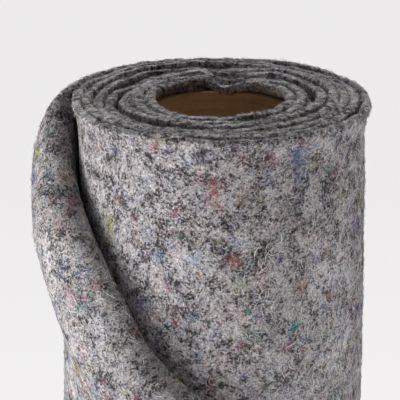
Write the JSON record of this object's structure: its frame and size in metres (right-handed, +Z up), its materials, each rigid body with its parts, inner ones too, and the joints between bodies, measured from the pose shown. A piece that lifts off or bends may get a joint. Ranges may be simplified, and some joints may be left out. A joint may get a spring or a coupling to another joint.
{
  "type": "roll of pond underlay",
  "caption": "Standing roll of thick grey recycled felt underlay on a cardboard tube, with the loose outer end's top corner turned down.",
  "frame": {"origin": "bottom centre of the whole roll's box, on the surface that it stands on", "axes": "+Z up along the roll; -Y is the side that is looked at, with the turned corner at -X"},
  "size_m": [0.1907, 0.196, 1.0011],
  "materials": {
    "felt": "matte, fibrous, mottled grey with coloured flecks",
    "core_card": "matte brown board"
  },
  "bodies": {
    "root": {"felt_roll": "felt", "loose_end": "felt", "core_tube": "core_card"}
  },
  "joints": []
}
